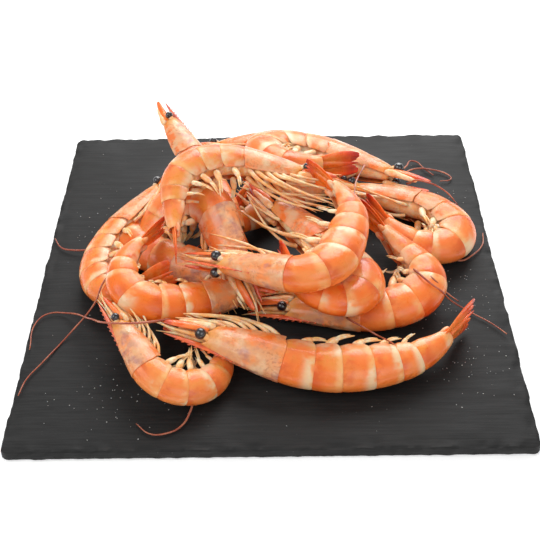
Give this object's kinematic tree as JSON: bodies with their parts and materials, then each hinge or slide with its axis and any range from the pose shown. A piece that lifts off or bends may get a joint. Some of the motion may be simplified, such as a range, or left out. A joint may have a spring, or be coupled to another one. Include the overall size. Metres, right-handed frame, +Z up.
{
  "type": "plate of cooked shrimp",
  "caption": "Whole cooked shrimp with heads, legs and feelers heaped loosely on a thin square slate serving board.",
  "frame": {"origin": "on the table, under the middle of the square board", "axes": "+Z up, +X to the right along the board's front edge, +Y away from the viewer"},
  "size_m": [0.25, 0.25, 0.0638],
  "materials": {
    "slate": "split dark grey slate with fine cleft lines, chipped edges and dried pale specks",
    "shell": "wet, slightly see-through cooked shrimp shell, orange with cream bands",
    "legs": "cream to pale orange legs and paddles, moist",
    "eyes": "glossy black",
    "feelers": "thin red-brown feelers",
    "specks": "small pale dried salt specks"
  },
  "bodies": {
    "root": {"slate_board": "slate", "shrimp_top": "shell", "shrimp_centre": "shell", "shrimp_middle": "shell", "shrimp_under": "shell", "shrimp_head_up": "shell", "shrimp_across": "shell", "shrimp_front": "shell", "shrimp_lower_right": "shell", "shrimp_right": "shell", "shrimp_back_right": "shell", "shrimp_left": "shell", "shrimp_corner": "shell", "shrimp_inner": "shell", "shrimp_back_left": "shell", "shrimp_below": "shell"}
  },
  "joints": []
}
